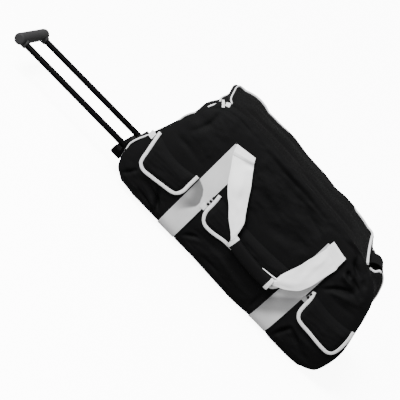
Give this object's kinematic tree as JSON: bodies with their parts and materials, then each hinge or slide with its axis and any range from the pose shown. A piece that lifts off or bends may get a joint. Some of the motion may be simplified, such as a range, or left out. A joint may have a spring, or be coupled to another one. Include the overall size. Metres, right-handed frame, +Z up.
{
  "type": "wheeled tool bag",
  "caption": "Soft black tool bag on wheels with a zipped lid, front flap pockets, white webbing carry handles and trim, and a pull-out trolley handle.",
  "frame": {"origin": "on the floor, in the middle of the whole footprint with the trolley handle pulled out", "axes": "+X from the trolley handle to the wheel end, -Y out of the front with the pockets, +Z up"},
  "size_m": [1.0706, 0.3388, 0.3448],
  "materials": {
    "black_fabric": "woven polyester, matt with a faint sheen",
    "white_webbing": "woven polypropylene webbing",
    "white_trim": "folded binding tape and piping",
    "black_zip": "zip tape with nylon coil",
    "black_metal": "black painted tube",
    "grey_grip": "moulded, fine texture",
    "black_plastic": "moulded, fine texture",
    "black_rubber": "matt rubber"
  },
  "bodies": {
    "bag": {"front_panel": "black_fabric", "back_panel": "black_fabric", "handle_end_panel": "black_fabric", "wheel_end_panel": "black_fabric", "base_panel": "black_plastic", "handle_end_piping": "white_trim", "wheel_end_piping": "white_trim", "lid_zip": "black_zip", "lid_piping": "white_trim", "lid_panel": "black_fabric", "strap_left": "white_webbing", "strap_right": "white_webbing", "carry_handle_front": "white_webbing", "handle_grip_front": "black_fabric", "carry_handle_back": "white_webbing", "handle_grip_back": "black_fabric", "flap_left_trim": "white_trim", "flap_left": "black_fabric", "pocket_zip_left": "white_trim", "flap_middle_trim": "white_trim", "flap_middle": "black_fabric", "pocket_zip_middle": "white_trim", "flap_right_trim": "white_trim", "flap_right": "black_fabric", "pocket_zip_right": "white_trim", "grab_loop": "black_fabric", "grab_loop_trim_front": "white_trim", "grab_loop_trim_back": "white_trim", "guide_tube_near": "black_plastic", "guide_tube_far": "black_plastic", "handle_bezel": "black_plastic", "axle_near": "black_metal", "axle_far": "black_metal", "wheel_chassis": "black_plastic", "foot_near": "black_plastic", "foot_far": "black_plastic"},
    "trolley_handle": {"trolley_grip": "grey_grip", "rod_near": "black_metal", "rod_far": "black_metal"},
    "wheel_near": {"tyre_near": "black_rubber", "hub_near": "black_plastic"},
    "wheel_far": {"tyre_far": "black_rubber", "hub_far": "black_plastic"}
  },
  "joints": [
    {"name": "trolley_slide", "type": "slide", "parent": "bag", "child": "trolley_handle", "axis": [1, 0, 0], "range_m": [0, 0.325]},
    {"name": "wheel_near_spin", "type": "hinge", "parent": "bag", "child": "wheel_near", "pos_m": [0.48765, -0.078, 0.032], "axis": [0, 1, 0], "continuous": true},
    {"name": "wheel_far_spin", "type": "hinge", "parent": "bag", "child": "wheel_far", "pos_m": [0.48765, 0.078, 0.032], "axis": [0, 1, 0], "continuous": true}
  ]
}
